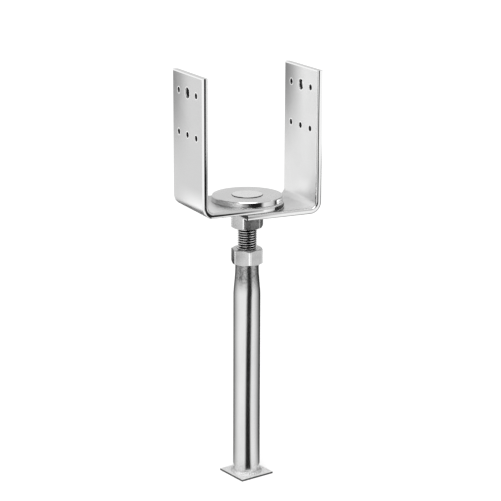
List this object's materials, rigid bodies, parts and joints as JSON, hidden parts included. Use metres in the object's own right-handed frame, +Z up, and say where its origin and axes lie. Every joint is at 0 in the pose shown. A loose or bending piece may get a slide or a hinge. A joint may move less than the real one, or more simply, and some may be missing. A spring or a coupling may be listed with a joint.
{
  "type": "timber post base",
  "caption": "Post base to cast in concrete: a U-shaped head of overlapping angle brackets under a round disc, on a threaded screw in a swaged tube with a square foot.",
  "frame": {"origin": "on the screw's axis at the underside of the foot plate, the middle of the object's base", "axes": "+Z up along the screw; +X across the head, from the upper bracket's flange to the lower bracket's; +Y along the brackets' width, away from the picture's camera"},
  "size_m": [0.132, 0.075, 0.43],
  "materials": {
    "bracket_zinc": "zinc coated, satin",
    "disc_zinc": "turned, zinc coated",
    "screw_zinc": "rolled thread, zinc coated",
    "nut_zinc": "zinc coated",
    "tube_zinc": "drawn tube, zinc coated, glossy",
    "foot_zinc": "sheared plate, zinc coated",
    "weld_metal": "weld bead, zinc coated"
  },
  "bodies": {
    "base": {"tube": "tube_zinc", "foot_plate": "foot_zinc", "foot_weld": "weld_metal", "lock_nut": "nut_zinc"},
    "upper_bracket": {"upper_bracket": "bracket_zinc"},
    "lower_bracket": {"lower_bracket": "bracket_zinc"},
    "screw": {"adjusting_screw": "screw_zinc", "bearing_disc": "disc_zinc", "clamp_nut": "nut_zinc"}
  },
  "joints": [
    {"name": "height_adjust", "type": "slide", "parent": "base", "child": "upper_bracket", "axis": [0, 0, 1], "range_m": [-0.021, 0.06]},
    {"name": "screw_turn", "type": "hinge", "parent": "upper_bracket", "child": "screw", "pos_m": [0, 0, 0.296], "axis": [0, 0, 1], "range_deg": [-3030, 8650]},
    {"name": "width_adjust", "type": "slide", "parent": "upper_bracket", "child": "lower_bracket", "axis": [1, 0, 0], "range_m": [-0.018, 0]}
  ],
  "couplings": [
    {"joint": "screw_turn", "follows": "height_adjust", "rad_per_m": 2513.3}
  ]
}
